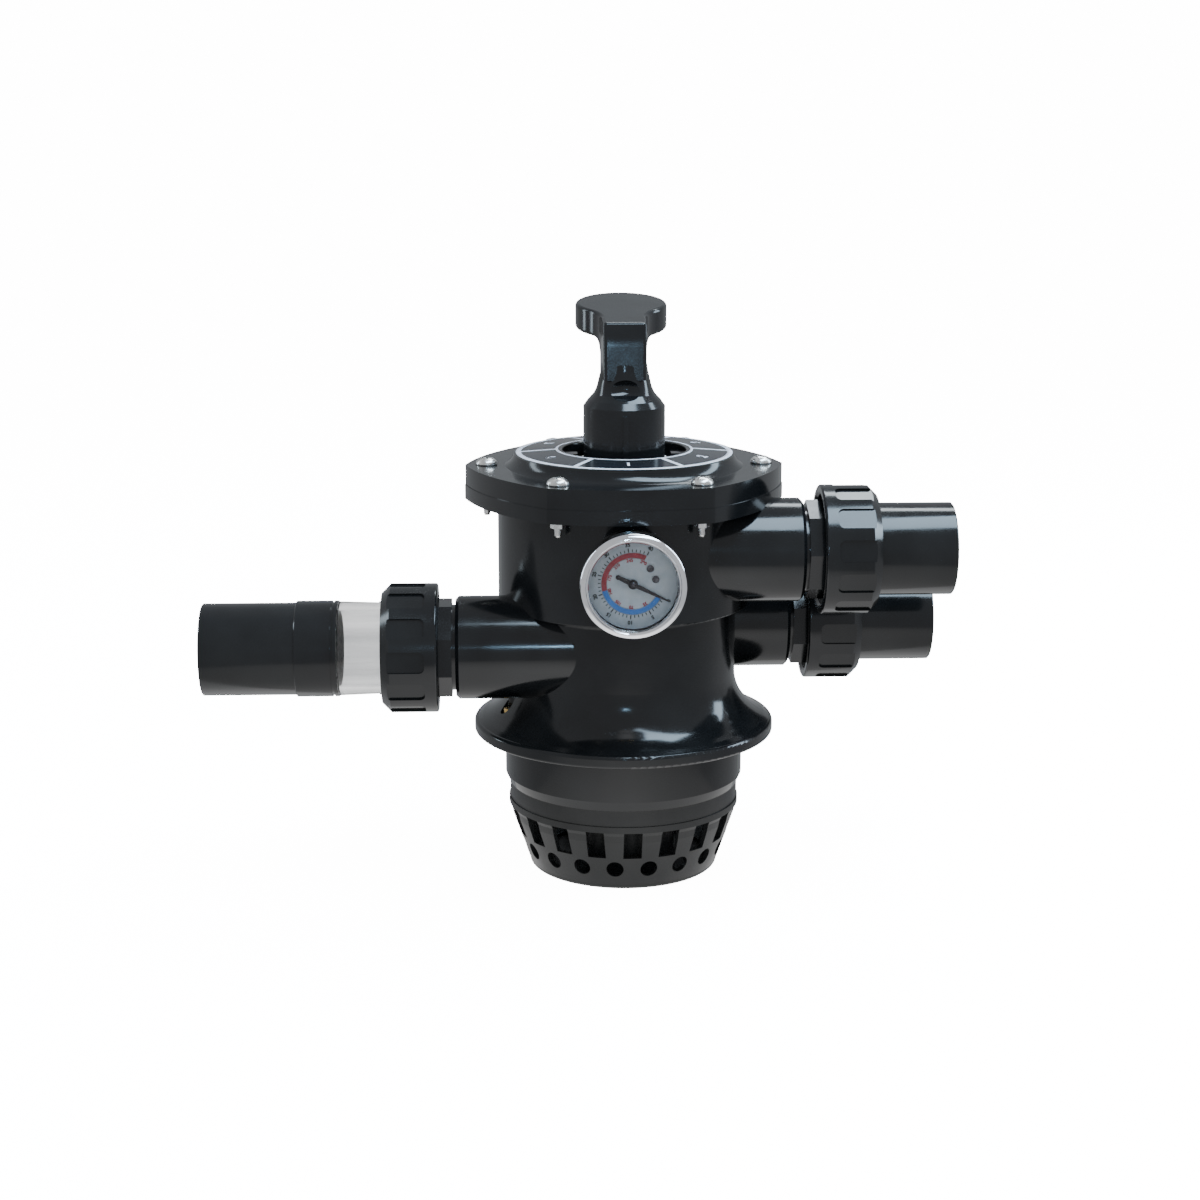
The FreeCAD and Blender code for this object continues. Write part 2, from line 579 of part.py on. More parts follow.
def build_handle():
    """Hub over the stem, a neck that leans back and a round paddle, hollow around the stem."""
    foot = d.well_floor + d.thrust_washer + d.running_gap
    hub = doc.addObject("Part::Revolution", "HandleHub")
    hub.Source = loose_sketch("HubOutline", Rotation(Vector(1, 0, 0), 90), [
        (0, foot), (d.hub_r - 0.8, foot), (d.hub_r, foot + 0.8, 0.8, 1),
        (d.hub_r, d.hub_shoulder), (19.9, 184.4), (16.9, 187.6), (14.4, 194, 18, -1),
        (12.8, 200.6), (12.4, 204), (0, 204)])
    hub.Axis = Vector(0, 0, 1)
    hub.Angle = 360
    hub.Solid = True
    slope = math.tan(math.radians(DIMENSIONS["paddle_slope"]))
    front, back = size(-8), d.paddle_y + d.paddle_r
    front_top = size(226.6)
    back_top = front_top + (back - front) * slope
    side = loose_sketch("SideOutline", Rotation(Vector(1, 1, 1), 120), [
        (-12.4, 196), (12.4, 196), (12.4, 206), (22, 216.2, 11, -1), (back, back_top - 13.5),
        (back, back_top), (front, front_top), (-10.6, 214, 60, 1)])
    plan = loose_sketch("PlanOutline", Rotation(), [
        (9.4, -12.8), (11.6, -10.6, 2.2, 1), (12.4, 4), (18.6, 22.7, 26, -1),
        (0, back, d.paddle_r, 1), (-18.6, 22.7, d.paddle_r, 1), (-12.4, 4, 26, -1),
        (-11.6, -10.6), (-9.4, -12.8, 2.2, 1)])
    lever = doc.addObject("Part::MultiCommon", "Lever")
    lever.Shapes = [extrude(side, Vector(1, 0, 0), 80, True),
                    extrude(plan, Vector(0, 0, 1), 260)]
    doc.recompute()
    soft = doc.addObject("Part::Fillet", "SoftLever")
    soft.Base = lever
    soft.Edges = [(number, 2, 2) for number in sharp_edges(lever.Shape, 198)]
    pointer = doc.addObject("Part::Box", "Pointer")
    bind(pointer, "Length", 3)
    bind(pointer, "Width", 4)
    bind(pointer, "Height", d.hub_shoulder - foot - 6)
    place(pointer, (-1.5, -d.hub_r - 1.2, foot + 3))
    outer = doc.addObject("Part::MultiFuse", "HandleOuter")
    outer.Shapes = [hub, soft, pointer]
    room = doc.addObject("Part::Box", "StemRoom")
    bind(room, "Length", d.stem_r * 2 + 0.7)
    bind(room, "Width", 29.5)
    bind(room, "Height", d.stem_top - foot + 4.5)
    place(room, (-d.stem_r - 0.35, -11, foot - 1))
    pin_hole = doc.addObject("Part::Cylinder", "PinHole")
    bind(pin_hole, "Radius", d.pin_r)
    bind(pin_hole, "Height", 60)
    place(pin_hole, (-30, 0, d.pin_height), ALONG["X"])
    scoop = doc.addObject("Part::Ellipsoid", "FrontScoop")
    bind(scoop, "Radius1", 6.5)
    bind(scoop, "Radius2", 14)
    bind(scoop, "Radius3", 9)
    place(scoop, (0, -20.5, 192))
    hollows = doc.addObject("Part::MultiFuse", "HandleHollows")
    hollows.Shapes = [room, pin_hole, scoop]
    handle = doc.addObject("Part::Cut", "handle")
    handle.Base, handle.Tool = outer, hollows
    keep(handle, "handle")
    pin = new_body("handle_pin")
    rod(pin, d.pin_r, (-21.6, 0, d.pin_height), 43.2, "X")
    ring("thrust_washer", d.stem_r + 0.3, size(24), d.well_floor + d.running_gap,
         d.well_floor + d.thrust_washer)


# ---------------------------------------------------------------- seals inside the body

def build_seals():
    spider = new_body("spider_gasket")
    top, low = d.seat_top + 1, d.seat_top - 2
    revolve(spider, [(54, low), (58.5, low), (58.5, top), (54, top)])
    revolve(spider, [(26.2, low), (31.4, low), (31.4, top), (26.2, top)])
    spoke = block(spider, (28, -2.6, low), (56, 2.6, top))
    repeat(spider, spoke, 6)
    soft_ring("lid_seal", size(65.2), size(68.2), d.split - 3, d.split)
    soft_ring("tank_seal", size(70), size(76), size(0), size(3.5))
    soft_ring("standpipe_seal", d.pipe_bore_r, size(28.4), size(-22), size(-17.8))


# ---------------------------------------------------------------- diffuser basket

def build_basket():
    body = new_body("diffuser_basket")
    low, wall, foot = d.basket_low, d.basket_wall, d.basket_foot_r
    revolve(body, [
        (d.pipe_bore_r, low), (foot, low), (foot + 2.7, low + 2.7, 2.7, 1),
        (62.2, -48), (63.1, -44), (d.lip_r, -42), (d.lip_r, -38.5), (d.collar_r, -38.5),
        (d.collar_r, d.neck_end), (59.9, d.neck_end), (59.9, -18), (57, -18), (57, -40),
        (59.5, -47), (foot - 0.6, low + wall), (d.pipe_bore_r + 3.5, low + wall),
        (d.pipe_bore_r + 3.5, d.riser_low - 0.2), (d.pipe_bore_r, d.riser_low - 0.2)])
    slot = block(body, (45, d.slot_wide * -0.5, d.slot_low), (70, d.slot_wide * 0.5, d.slot_high),
                 turn=-87.8, cut=True)
    repeat(body, slot, d.slot_count)
    turn = -87.8 + 180 / DIMENSIONS["slot_count"]
    outward = Vector(math.cos(math.radians(turn)), math.sin(math.radians(turn)), 0)
    hole = rod(body, d.hole_r, (40 * outward.x, 40 * outward.y, d.hole_z), 30,
               Rotation(Vector(0, 0, 1), outward), True)
    repeat(body, hole, d.slot_count)


# ---------------------------------------------------------------- union fittings

def on_port(side, face, y, z):
    """Local frame of a port: +X outwards from the hub's face, on the port's axis."""
    spin = Rotation() if side > 0 else Rotation(Vector(0, 0, 1), 180)
    return Placement(Vector(face * side, y, z), spin)


def build_adapter(name, placement, first_corner):
    """Threaded nipple with an eight-sided collar and the union's male head."""
    body = new_body(name + "_adapter", placement)
    bore = d.port_bore_r
    revolve(body, [
        (-d.thread_in, bore), (d.head_end, bore), (d.head_end, d.head_r - 0.6),
        (d.head_end - 0.6, d.head_r), (d.head_start, d.head_r), (d.head_start, 23.2),
        (0, 23.2), (0, d.thread_r), (-4, d.thread_r), (-4, 21.9), (-6.6, 21.9),
        (-6.6, d.thread_r), (-d.thread_in, d.thread_r)], "XY", "H_Axis")

    def octagon(sketch):
        corners = []
        for i in range(8):
            a = math.radians(first_corner + 45 * i)
            corners.append((d.octagon_r * math.cos(a), d.octagon_r * math.sin(a)))
        draw_outline(sketch, corners)

    slab(body, octagon, d.neck_gap, d.head_start, "YZ")
    rod(body, bore, (-d.thread_in - 1, 0, 0), d.head_end + d.thread_in + 2, "X", True)
    revolve(body, [(d.head_end - 2.2, 23.6), (d.head_end + 1, 23.6), (d.head_end + 1, 26.8),
                   (d.head_end - 2.2, 26.8)], "XY", "H_Axis", cut=True)
    ring(name + "_union_seal", size(23.6), size(26.8), d.head_end - 2.2, d.head_end,
         placement, "X")
    ring(name + "_thread_seal", size(21.9), d.thread_r, size(-6.6), size(-4), placement, "X")


def build_nut(name, placement, turn=0):
    """Union nut: plain ring, twelve shallow flutes, chamfered nose."""
    body = new_body(name + "_nut", placement)
    start, end, r = d.nut_start, d.nut_end, d.nut_r
    gap = d.running_gap
    step = d.head_end + d.tail_flange + gap
    revolve(body, [
        (start + 1.2, d.head_r + gap), (step, d.head_r + gap), (step, d.shank_r + gap),
        (end, d.shank_r + gap), (end, r - d.nut_chamfer), (end - d.nut_chamfer, r),
        (start + 1.2, r), (start, r - 1.2, 1.2, 1), (start, d.head_r + 1.2)],
        "XY", "H_Axis")

    def flute(sketch):
        half = d.flute_wide * 0.5
        front = start + d.nut_ring
        draw_outline(sketch, [
            (end + 1, -half), (end + 1, half), (front + 3, half), (front, half - 3, 3, 1),
            (front, -half + 3), (front + 3, -half, 3, 1)])

    cutter = slab(body, flute, r - d.flute_deep, r + 3, "XY", cut=True)
    repeat(body, cutter, 12, "X_Axis")


def build_tail(name, placement):
    body = new_body(name + "_tail", placement)
    start = d.head_end
    revolve(body, [
        (start, d.tail_bore_r), (d.tail_end, d.tail_bore_r), (d.tail_end, d.tail_r - 0.6),
        (d.tail_end - 0.6, d.tail_r), (d.nut_end + 0.8, d.tail_r),
        (d.nut_end + 0.8, d.shank_r), (start + d.tail_flange, d.shank_r),
        (start + d.tail_flange, d.tail_flange_r), (start, d.tail_flange_r)], "XY", "H_Axis")


def build_sight_glass(placement):
    start = d.head_end
    glass = new_body("sight_glass", placement)
    revolve(glass, [
        (start, 21), (d.glass_end, 21), (d.glass_end, 23), (d.collar_start, 23),
        (d.collar_start, 25.5), (d.nut_end + 1.5, 24.75), (d.nut_end + 1.5, d.shank_r),
        (start + d.tail_flange, d.shank_r), (start + d.tail_flange, d.tail_flange_r),
        (start, d.tail_flange_r)], "XY", "H_Axis")
    spigot = new_body("waste_spigot", placement)
    top = d.collar_out_r
    revolve(spigot, [
        (d.collar_start, 23), (d.glass_end, 23), (d.glass_end, d.tail_bore_r),
        (d.spigot_end, d.tail_bore_r), (d.spigot_end, d.tail_r - 0.6),
        (d.spigot_end - 0.6, d.tail_r), (d.collar_end, d.tail_r), (d.collar_end, top - 0.5),
        (d.collar_end - 0.5, top), (d.collar_start + 3.4, top), (d.collar_start + 3.4, top - 0.7),
        (d.collar_start + 2, top - 0.7), (d.collar_start + 2, top), (d.collar_start, top)],
        "XY", "H_Axis")


def build_ports():
    ports = (("waste", -1, d.left_face, d.front_port_y, d.low_port_z, 22.5, 0.3),
             ("pump", 1, d.right_face, d.front_port_y, d.pump_port_z, -3.7, -9.5),
             ("return", 1, d.right_face, d.rear_port_y, d.low_port_z, 22.5, 4))
    for name, side, face, y, z, corner, turn in ports:
        placement = on_port(side, face.value, y.value, z.value)
        build_adapter(name, placement, corner)
        spun = placement.multiply(Placement(Vector(), Rotation(Vector(1, 0, 0), turn)))
        build_nut(name, spun)
        if name == "waste":
            build_sight_glass(placement)
        else:
            build_tail(name, placement)


# ---------------------------------------------------------------- pressure gauge

def build_gauge():
    face = Placement(Vector(0, 0, DIMENSIONS["gauge_z"]), Rotation(Vector(1, 0, 0), 90))
    back, front, wall = d.case_back, d.case_front, d.case_wall
    socket = new_body("gauge_socket", face)
    rod(socket, d.gauge_thread_r, (0, 0, d.gauge_boss_end - 14), 14)
    slab(socket, lambda s: draw_outline(s, hexagon((size(0), size(0)), size(14))),
         d.gauge_boss_end, back)
    rod(socket, 5, (0, 0, back), 6)
    block(socket, (-5, -19.5, back + 1.2), (5, -4, back + 6))
    rod(socket, 2, (0, 0, d.gauge_boss_end - 15), 20, cut=True)
    case = new_body("gauge_case", face)
    revolve(case, [
        (5, back), (d.case_r - 2, back), (d.case_r, back + 2, 2, 1), (d.case_r, front),
        (d.case_r - wall, front), (d.case_r - wall, d.dial_plane - 0.8),
        (d.case_r - wall - 1, d.dial_plane - 0.8), (d.case_r - wall - 1, back + wall),
        (5, back + wall)])
    bezel = new_body("gauge_bezel", face)
    lip = d.bezel_front - 1.8
    revolve(bezel, [
        (d.case_r, d.bezel_back), (d.bezel_r - 0.5, d.bezel_back), (d.bezel_r, d.bezel_back + 0.5),
        (d.bezel_r, d.bezel_front - 3), (d.bezel_r - 3, d.bezel_front, 3, 1),
        (d.bezel_in_r + 1.3, d.bezel_front - 0.5), (d.bezel_in_r + 0.7, d.bezel_front - 0.5),
        (d.bezel_in_r, lip), (d.case_r, lip)])
    lens = new_body("gauge_lens", face)
    rod(lens, d.case_r, (0, 0, front + 1.2), lip - front - 1.2)
    ring("gauge_lens_gasket", d.bezel_in_r, d.case_r, front, front + 1.2, face)
    dial = new_body("gauge_dial", face)
    rod(dial, d.case_r - wall, (0, 0, d.dial_plane - 0.8), 0.8)
    rod(dial, 1.6, (0, 0, d.dial_plane - 3), 6, cut=True)
    screws = new_body("gauge_dial_screws", face)
    for turn in (42, 11.3):
        x, y = 11.9 * math.cos(math.radians(turn)), 11.9 * math.sin(math.radians(turn))
        rod(dial, 1, (x, y, d.dial_plane - 3), 6, cut=True)
        rod(screws, 1.9, (x, y, d.dial_plane), 0.9)
        rod(screws, 1, (x, y, d.dial_plane - 3), 3.5)
    build_movement(face)


def build_movement(face):
    """Two plates on posts, with the toothless sector and pinion between them."""
    plate_low, plate_high = d.case_back + 7, d.dial_plane - 3
    frame = new_body("gauge_movement", face)
    for low in (plate_low, plate_high - 1):
        block(frame, (-13.5, -8, low), (15, 12.5, low + 1))
    for x, y in ((-12, -6.5), (13.5, -6.5), (-12, 11)):
        rod(frame, 1.2, (x, y, plate_low - 1), plate_high - plate_low + 1)
    block(frame, (-4, -8, d.case_back + 6), (4, -4.2, plate_low))
    gap = d.running_gap
    rod(frame, 0.8 + gap, (0, 0, plate_low - 2), 20, cut=True)
    rod(frame, 0.8 + gap, (-10, 0, plate_low - 2), 20, cut=True)
    needle = new_body("gauge_needle", face)
    rod(needle, 0.8, (0, 0, plate_low - 1), d.dial_plane - plate_low + 3)
    rod(needle, 2, (0, 0, plate_low + 1.3), 2)
    rod(needle, 2.5, (0, 0, d.dial_plane + 1.2), 1)
    rod(needle, 1.4, (0, 0, d.dial_plane + 2), 0.9)
    tip = math.radians(-26)
    corner = [(20.2, 0), (2, 0.9), (-7, 0.6), (-8, 1.8), (-9.8, 1.2), (-9.8, -1.2), (-8, -1.8),
              (-7, -0.6), (2, -0.9)]

    def blade(sketch):
        draw_outline(sketch, [(x * math.cos(tip) - y * math.sin(tip),
                               x * math.sin(tip) + y * math.cos(tip)) for x, y in corner])

    slab(needle, blade, d.dial_plane + 1.3, d.dial_plane + 1.8)
    sector = new_body("gauge_sector", face)
    rod(sector, 0.8, (-10, 0, plate_low - 1), plate_high - plate_low + 2)

    def fan(sketch):
        reach, spread = 7.95, math.radians(24)
        draw_outline(sketch, [
            (-10, -2), (-10 + reach * math.cos(spread), -reach * math.sin(spread)),
            (-10 + reach * math.cos(spread), reach * math.sin(spread), reach, 1), (-10, 2),
            (-12.5, 0)])

    slab(sector, fan, plate_low + 1.4, plate_low + 3.2)
    tube = new_body("gauge_bourdon_tube", face)
    r = 18.5
    revolve(tube, [(r - 0.9, d.case_back + 2), (r + 0.9, d.case_back + 2),
                   (r + 0.9, d.case_back + 5.5), (r - 0.9, d.case_back + 5.5)], angle=250)


# ---------------------------------------------------------------- bleed screw

def build_bleed():
    a = math.radians(DIMENSIONS["bleed_angle"])
    spot = Placement(Vector(DIMENSIONS["bleed_circle_r"] * math.cos(a),
                            DIMENSIONS["bleed_circle_r"] * math.sin(a), 0), Rotation())
    screw = new_body("bleed_screw", spot)
    rod(screw, 2, (0, 0, 4), d.bleed_floor - 3)
    rod(screw, d.bleed_head_r, (0, 0, d.bleed_floor + 1), 3)
    block(screw, (-4, -0.4, d.bleed_floor + 3.1), (4, 0.4, d.bleed_floor + 6), cut=True)
    ring("bleed_seal", size(2.02), size(2.9), d.bleed_floor, d.bleed_floor + 0.95, spot)


build_valve_body()
build_lid()
build_label()
build_lid_hardware()
build_rotor()
build_spring()
build_handle()
build_seals()
build_basket()
build_ports()
build_gauge()
build_bleed()
doc.recompute()

for obj in doc.Objects:
    if any(flag in obj.State for flag in ("Invalid", "Error")):
        raise RuntimeError(f"{obj.Name} ({obj.Label}) did not rebuild: {obj.State}")
for label, obj in nodes.items():
    if obj.Shape.isNull() or not obj.Shape.isValid():
        raise RuntimeError(f"{label} has no valid shape")
    obj.Shape.exportStep(f"parts/{label}.step")
    print(f"{label}: {len(obj.Shape.Solids)} solid(s), {obj.Shape.Volume:.1f} mm3")
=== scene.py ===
import math

import bmesh
import bpy
from mathutils import Matrix, Vector


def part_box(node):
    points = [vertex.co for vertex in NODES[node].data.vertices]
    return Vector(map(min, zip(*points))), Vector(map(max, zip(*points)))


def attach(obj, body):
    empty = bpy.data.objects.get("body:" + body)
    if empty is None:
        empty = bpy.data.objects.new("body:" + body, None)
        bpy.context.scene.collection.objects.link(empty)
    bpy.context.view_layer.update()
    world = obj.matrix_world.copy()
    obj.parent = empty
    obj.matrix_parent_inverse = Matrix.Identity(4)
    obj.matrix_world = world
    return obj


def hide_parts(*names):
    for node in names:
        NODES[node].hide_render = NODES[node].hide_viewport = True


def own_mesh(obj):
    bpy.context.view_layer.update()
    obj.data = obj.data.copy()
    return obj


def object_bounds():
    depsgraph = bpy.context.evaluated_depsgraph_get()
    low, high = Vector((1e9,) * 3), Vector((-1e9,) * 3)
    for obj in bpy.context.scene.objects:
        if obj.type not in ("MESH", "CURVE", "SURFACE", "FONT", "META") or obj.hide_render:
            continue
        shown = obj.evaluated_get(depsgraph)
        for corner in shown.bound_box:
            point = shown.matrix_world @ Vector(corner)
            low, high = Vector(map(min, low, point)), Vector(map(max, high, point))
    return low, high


# Six-way top-mount valve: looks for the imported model, in metres, in the model's own frame.

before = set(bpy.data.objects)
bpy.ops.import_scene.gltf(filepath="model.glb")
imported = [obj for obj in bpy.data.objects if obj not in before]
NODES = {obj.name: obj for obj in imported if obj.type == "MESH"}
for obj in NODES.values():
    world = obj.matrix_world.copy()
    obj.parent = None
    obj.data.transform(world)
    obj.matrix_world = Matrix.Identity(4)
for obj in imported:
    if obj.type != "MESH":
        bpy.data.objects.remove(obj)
cad_box = [list(corner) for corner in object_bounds()]


# ---------------------------------------------------------------- materials

def new_material(name):
    material = bpy.data.materials.new(name)
    material.use_nodes = True
    tree = material.node_tree
    return material, tree, tree.nodes["Principled BSDF"]


def noise(tree, scale, detail=4.0, stretch=None):
    """Noise in the object's own coordinates, stretched along an axis if asked."""
    coords = tree.nodes.new("ShaderNodeTexCoord")
    mapping = tree.nodes.new("ShaderNodeMapping")
    mapping.inputs["Scale"].default_value = stretch or (1, 1, 1)
    texture = tree.nodes.new("ShaderNodeTexNoise")
    texture.inputs["Scale"].default_value = scale
    texture.inputs["Detail"].default_value = detail
    tree.links.new(coords.outputs["Object"], mapping.inputs["Vector"])
    tree.links.new(mapping.outputs["Vector"], texture.inputs["Vector"])
    return texture.outputs["Fac"]


def ramp(tree, source, low, high, start=0.35, end=0.65):
    """Colour ramp between two colours; low and high are (r, g, b)."""
    node = tree.nodes.new("ShaderNodeValToRGB")
    node.color_ramp.elements[0].position = start
    node.color_ramp.elements[1].position = end
    node.color_ramp.elements[0].color = (*low, 1)
    node.color_ramp.elements[1].color = (*high, 1)
    tree.links.new(source, node.inputs["Fac"])
    return node.outputs["Color"]


def spread(tree, source, low, high):
    """Map the middle of a noise to a range, for roughness."""
    node = tree.nodes.new("ShaderNodeMapRange")
    node.inputs["From Min"].default_value = 0.3
    node.inputs["From Max"].default_value = 0.7
    node.inputs["To Min"].default_value = low
    node.inputs["To Max"].default_value = high
    tree.links.new(source, node.inputs["Value"])
    return node.outputs["Result"]


def bump(tree, shader, source, strength, depth):
    node = tree.nodes.new("ShaderNodeBump")
    node.inputs["Strength"].default_value = strength
    node.inputs["Distance"].default_value = depth
    tree.links.new(source, node.inputs["Height"])
    tree.links.new(node.outputs["Normal"], shader.inputs["Normal"])


def moulded(name, dark, light, rough, grain, strength, gloss=0.5):
    """Injection-moulded plastic: slow colour drift, fine grain and uneven gloss."""
    material, tree, shader = new_material(name)
    tree.links.new(ramp(tree, noise(tree, 35), dark, light), shader.inputs["Base Color"])
    tree.links.new(spread(tree, noise(tree, 60, 6), *rough), shader.inputs["Roughness"])
    bump(tree, shader, noise(tree, grain, 3), strength, 0.0002)
    shader.inputs["Specular IOR Level"].default_value = gloss
    return material


def metal(name, dark, light, rough, stretch=None, grain=400, strength=0.08):
    """Metal whose colour, gloss and fine relief share one grain."""
    material, tree, shader = new_material(name)
    shader.inputs["Metallic"].default_value = 1.0
    texture = noise(tree, grain, 5, stretch)
    tree.links.new(ramp(tree, texture, dark, light), shader.inputs["Base Color"])
    tree.links.new(spread(tree, texture, *rough), shader.inputs["Roughness"])
    bump(tree, shader, texture, strength, 0.0001)
    return material


def clear(name, tint, bright, rough, ior, grain, stretch, strength, alpha=1.0):
    """Clear plastic or glass with faint waves in it."""
    material, tree, shader = new_material(name)
    shader.inputs["Transmission Weight"].default_value = 1.0
    shader.inputs["Alpha"].default_value = alpha
    shader.inputs["IOR"].default_value = ior
    texture = noise(tree, grain, 3, stretch)
    tree.links.new(ramp(tree, texture, tint, bright), shader.inputs["Base Color"])
    tree.links.new(spread(tree, texture, rough, rough * 2), shader.inputs["Roughness"])
    bump(tree, shader, texture, strength, 0.001)
    return material


def printed(name, dark, light, rough=0.35):
    """Ink or paint: slight mottling and a little tooth."""
    material, tree, shader = new_material(name)
    tree.links.new(ramp(tree, noise(tree, 220, 5), dark, light), shader.inputs["Base Color"])
    tree.links.new(spread(tree, noise(tree, 500, 2), rough, rough + 0.1),
                   shader.inputs["Roughness"])
    bump(tree, shader, noise(tree, 1500, 2), 0.03, 0.0001)
    return material


BLACK = moulded("black_abs", (0.0035, 0.0042, 0.005), (0.006, 0.007, 0.008), (0.10, 0.18),
                1200, 0.03, gloss=0.36)
SATIN = moulded("satin_abs", (0.006, 0.0065, 0.007), (0.011, 0.0115, 0.012), (0.3, 0.42),
                700, 0.10, gloss=0.3)
LABEL = moulded("label_black", (0.005, 0.007, 0.010), (0.008, 0.010, 0.014), (0.14, 0.2),
                900, 0.02, gloss=0.4)
WHITE_INK = printed("label_white", (0.44, 0.47, 0.55), (0.55, 0.58, 0.66))
GREY = moulded("grey_abs", (0.16, 0.165, 0.17), (0.21, 0.215, 0.22), (0.35, 0.5), 800, 0.08)
ACETAL = moulded("acetal_white", (0.66, 0.66, 0.63), (0.76, 0.76, 0.73), (0.3, 0.45),
                 600, 0.05)
RUBBER = moulded("seal_rubber", (0.006, 0.006, 0.006), (0.014, 0.014, 0.014), (0.55, 0.75),
                 500, 0.25)
STEEL = metal("stainless", (0.62, 0.62, 0.61), (0.8, 0.8, 0.78), (0.2, 0.34))
WIRE = metal("spring_steel", (0.38, 0.38, 0.38), (0.56, 0.56, 0.55), (0.22, 0.36),
             (1, 1, 12), 300, 0.15)
CHROME = metal("chrome_plate", (0.74, 0.75, 0.78), (0.82, 0.83, 0.85), (0.05, 0.11),
               None, 90, 0.02)
BRASS = metal("brass", (0.55, 0.38, 0.14), (0.74, 0.54, 0.24), (0.2, 0.38),
              (1, 1, 3), 300, 0.1)
DIAL_FACE = printed("dial_face", (0.165, 0.195, 0.225), (0.19, 0.22, 0.25), 0.4)
DIAL_RED = printed("dial_red", (0.11, 0.003, 0.010), (0.14, 0.005, 0.014))
DIAL_BLUE = printed("dial_blue", (0.004, 0.065, 0.23), (0.006, 0.08, 0.28))
DIAL_BLACK = printed("dial_black", (0.002, 0.002, 0.003), (0.005, 0.005, 0.006), 0.5)
SCREW_DARK = metal("dial_screw_zinc", (0.045, 0.045, 0.05), (0.09, 0.09, 0.10), (0.3, 0.45))
GLASS = clear("gauge_glass", (0.97, 0.98, 1.0), (1, 1, 1), 0.005, 1.2,
              80, None, 0.02, alpha=0.15)
CLEAR = clear("sight_clear", (0.60, 0.61, 0.62), (0.93, 0.935, 0.94), 0.02, 1.45,
              30, (0.2, 3, 3), 0.15)

CAD_FINISH = {
    BLACK: ["valve_body", "lid", "waste_adapter", "pump_adapter", "return_adapter", "waste_nut",
            "pump_nut", "return_nut", "waste_spigot", "pump_tail", "return_tail", "handle"],
    SATIN: ["diffuser_basket"],
    LABEL: ["label_plate"],
    GREY: ["rotor"],
    ACETAL: ["thrust_washer", "spring_seat_low", "spring_seat_high"],
    RUBBER: ["spider_gasket", "lid_seal", "tank_seal", "standpipe_seal", "stem_seal_low",
             "stem_seal_high", "waste_union_seal", "pump_union_seal", "return_union_seal",
             "waste_thread_seal", "pump_thread_seal", "return_thread_seal",
             "gauge_lens_gasket", "bleed_seal"],
    STEEL: ["lid_screws", "lid_washers", "lid_nuts", "handle_pin"],
    SCREW_DARK: ["gauge_dial_screws"],
    WIRE: ["rotor_spring"],
    CHROME: ["gauge_case", "gauge_bezel"],
    BRASS: ["gauge_socket", "gauge_movement", "gauge_sector", "gauge_bourdon_tube",
            "bleed_screw"],
    DIAL_FACE: ["gauge_dial"],
    DIAL_BLACK: ["gauge_needle"],
    GLASS: ["gauge_lens"],
    CLEAR: ["sight_glass"],
}


def dress_cad():
    """Give every CAD node its finish."""
    for material, names in CAD_FINISH.items():
        for name in names:
            node = NODES[name]
            node.data.materials.clear()
            node.data.materials.append(material)


def soften(name, width, segments=3, angle=30):
    """Round the edges of a CAD node that are sharper than an angle in degrees."""
    bevel = NODES[name].modifiers.new("rounding", "BEVEL")
    bevel.width = width
    bevel.segments = segments
    bevel.limit_method = "ANGLE"
    bevel.angle_limit = math.radians(angle)
    bevel.harden_normals = True


# ---------------------------------------------------------------- mesh helpers

def to_mesh(name, bm):
    mesh = bpy.data.meshes.new(name)
    bm.to_mesh(mesh)
    bm.free()
    return mesh


def link_object(name, data):
    thing = bpy.data.objects.new(name, data)
    bpy.context.scene.collection.objects.link(thing)
    return thing


def merge(bm, part):
    """Move one mesh's faces into another."""
    mesh = to_mesh("merged", part)
    bm.from_mesh(mesh)
    bpy.data.meshes.remove(mesh)


def new_piece(name, bm, material, body, smooth=True):
    bm.normal_update()
    mesh = to_mesh(name, bm)
    if smooth:
        mesh.polygons.foreach_set("use_smooth", [True] * len(mesh.polygons))
    mesh.materials.append(material)
    piece = link_object(name, mesh)
    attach(piece, body)
    return piece


def lathe(profile, steps=96, closed=True, start=0.0, end=2 * math.pi):
    """Mesh turned about Z from (radius, height) pairs, all round or between two angles."""
    bm = bmesh.new()
    full = abs(end - start - 2 * math.pi) < 1e-6
    count = steps if full else steps + 1
    rings = []
    for i in range(count):
        a = start + (end - start) * i / steps
        rings.append([bm.verts.new((r * math.cos(a), r * math.sin(a), z)) for r, z in profile])
    for i in range(steps):
        one, two = rings[i], rings[(i + 1) % count]
        for k in range(len(profile) if closed else len(profile) - 1):
            n = (k + 1) % len(profile)
            bm.faces.new((one[k], two[k], two[n], one[n]))
    if not full and closed:
        bm.faces.new(rings[0][::-1])
        bm.faces.new(rings[-1])
    bmesh.ops.remove_doubles(bm, verts=bm.verts, dist=1e-7)
    bmesh.ops.recalc_face_normals(bm, faces=bm.faces)
    return bm


def prism(bm, base, top):
    """Add a closed solid between two matching outlines of points."""
    low = [bm.verts.new(point) for point in base]
    high = [bm.verts.new(point) for point in top]
    bm.faces.new(low[::-1])
    bm.faces.new(high)
    for i in range(len(low)):
        n = (i + 1) % len(low)
        bm.faces.new((low[i], low[n], high[n], high[i]))


def flat_plate(bm, outline, low, high):
    """Add a plate over a convex outline of (x, y) points."""
    prism(bm, [(x, y, low) for x, y in outline], [(x, y, high) for x, y in outline])


def polar(radius, degrees):
    return radius * math.cos(math.radians(degrees)), radius * math.sin(math.radians(degrees))


def lettering(name, words, height, matrix, material, body):
    """Raised print of a plain number."""
    curve = bpy.data.curves.new(name, "FONT")
    curve.body = words
    curve.size = height
    curve.align_x = "CENTER"
    curve.align_y = "CENTER"
    curve.extrude = 0.00005
    curve.offset = height * 0.045
    curve.materials.append(material)
    piece = link_object(name, curve)
    piece.matrix_world = matrix
    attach(piece, body)


# ---------------------------------------------------------------- dial label on the lid

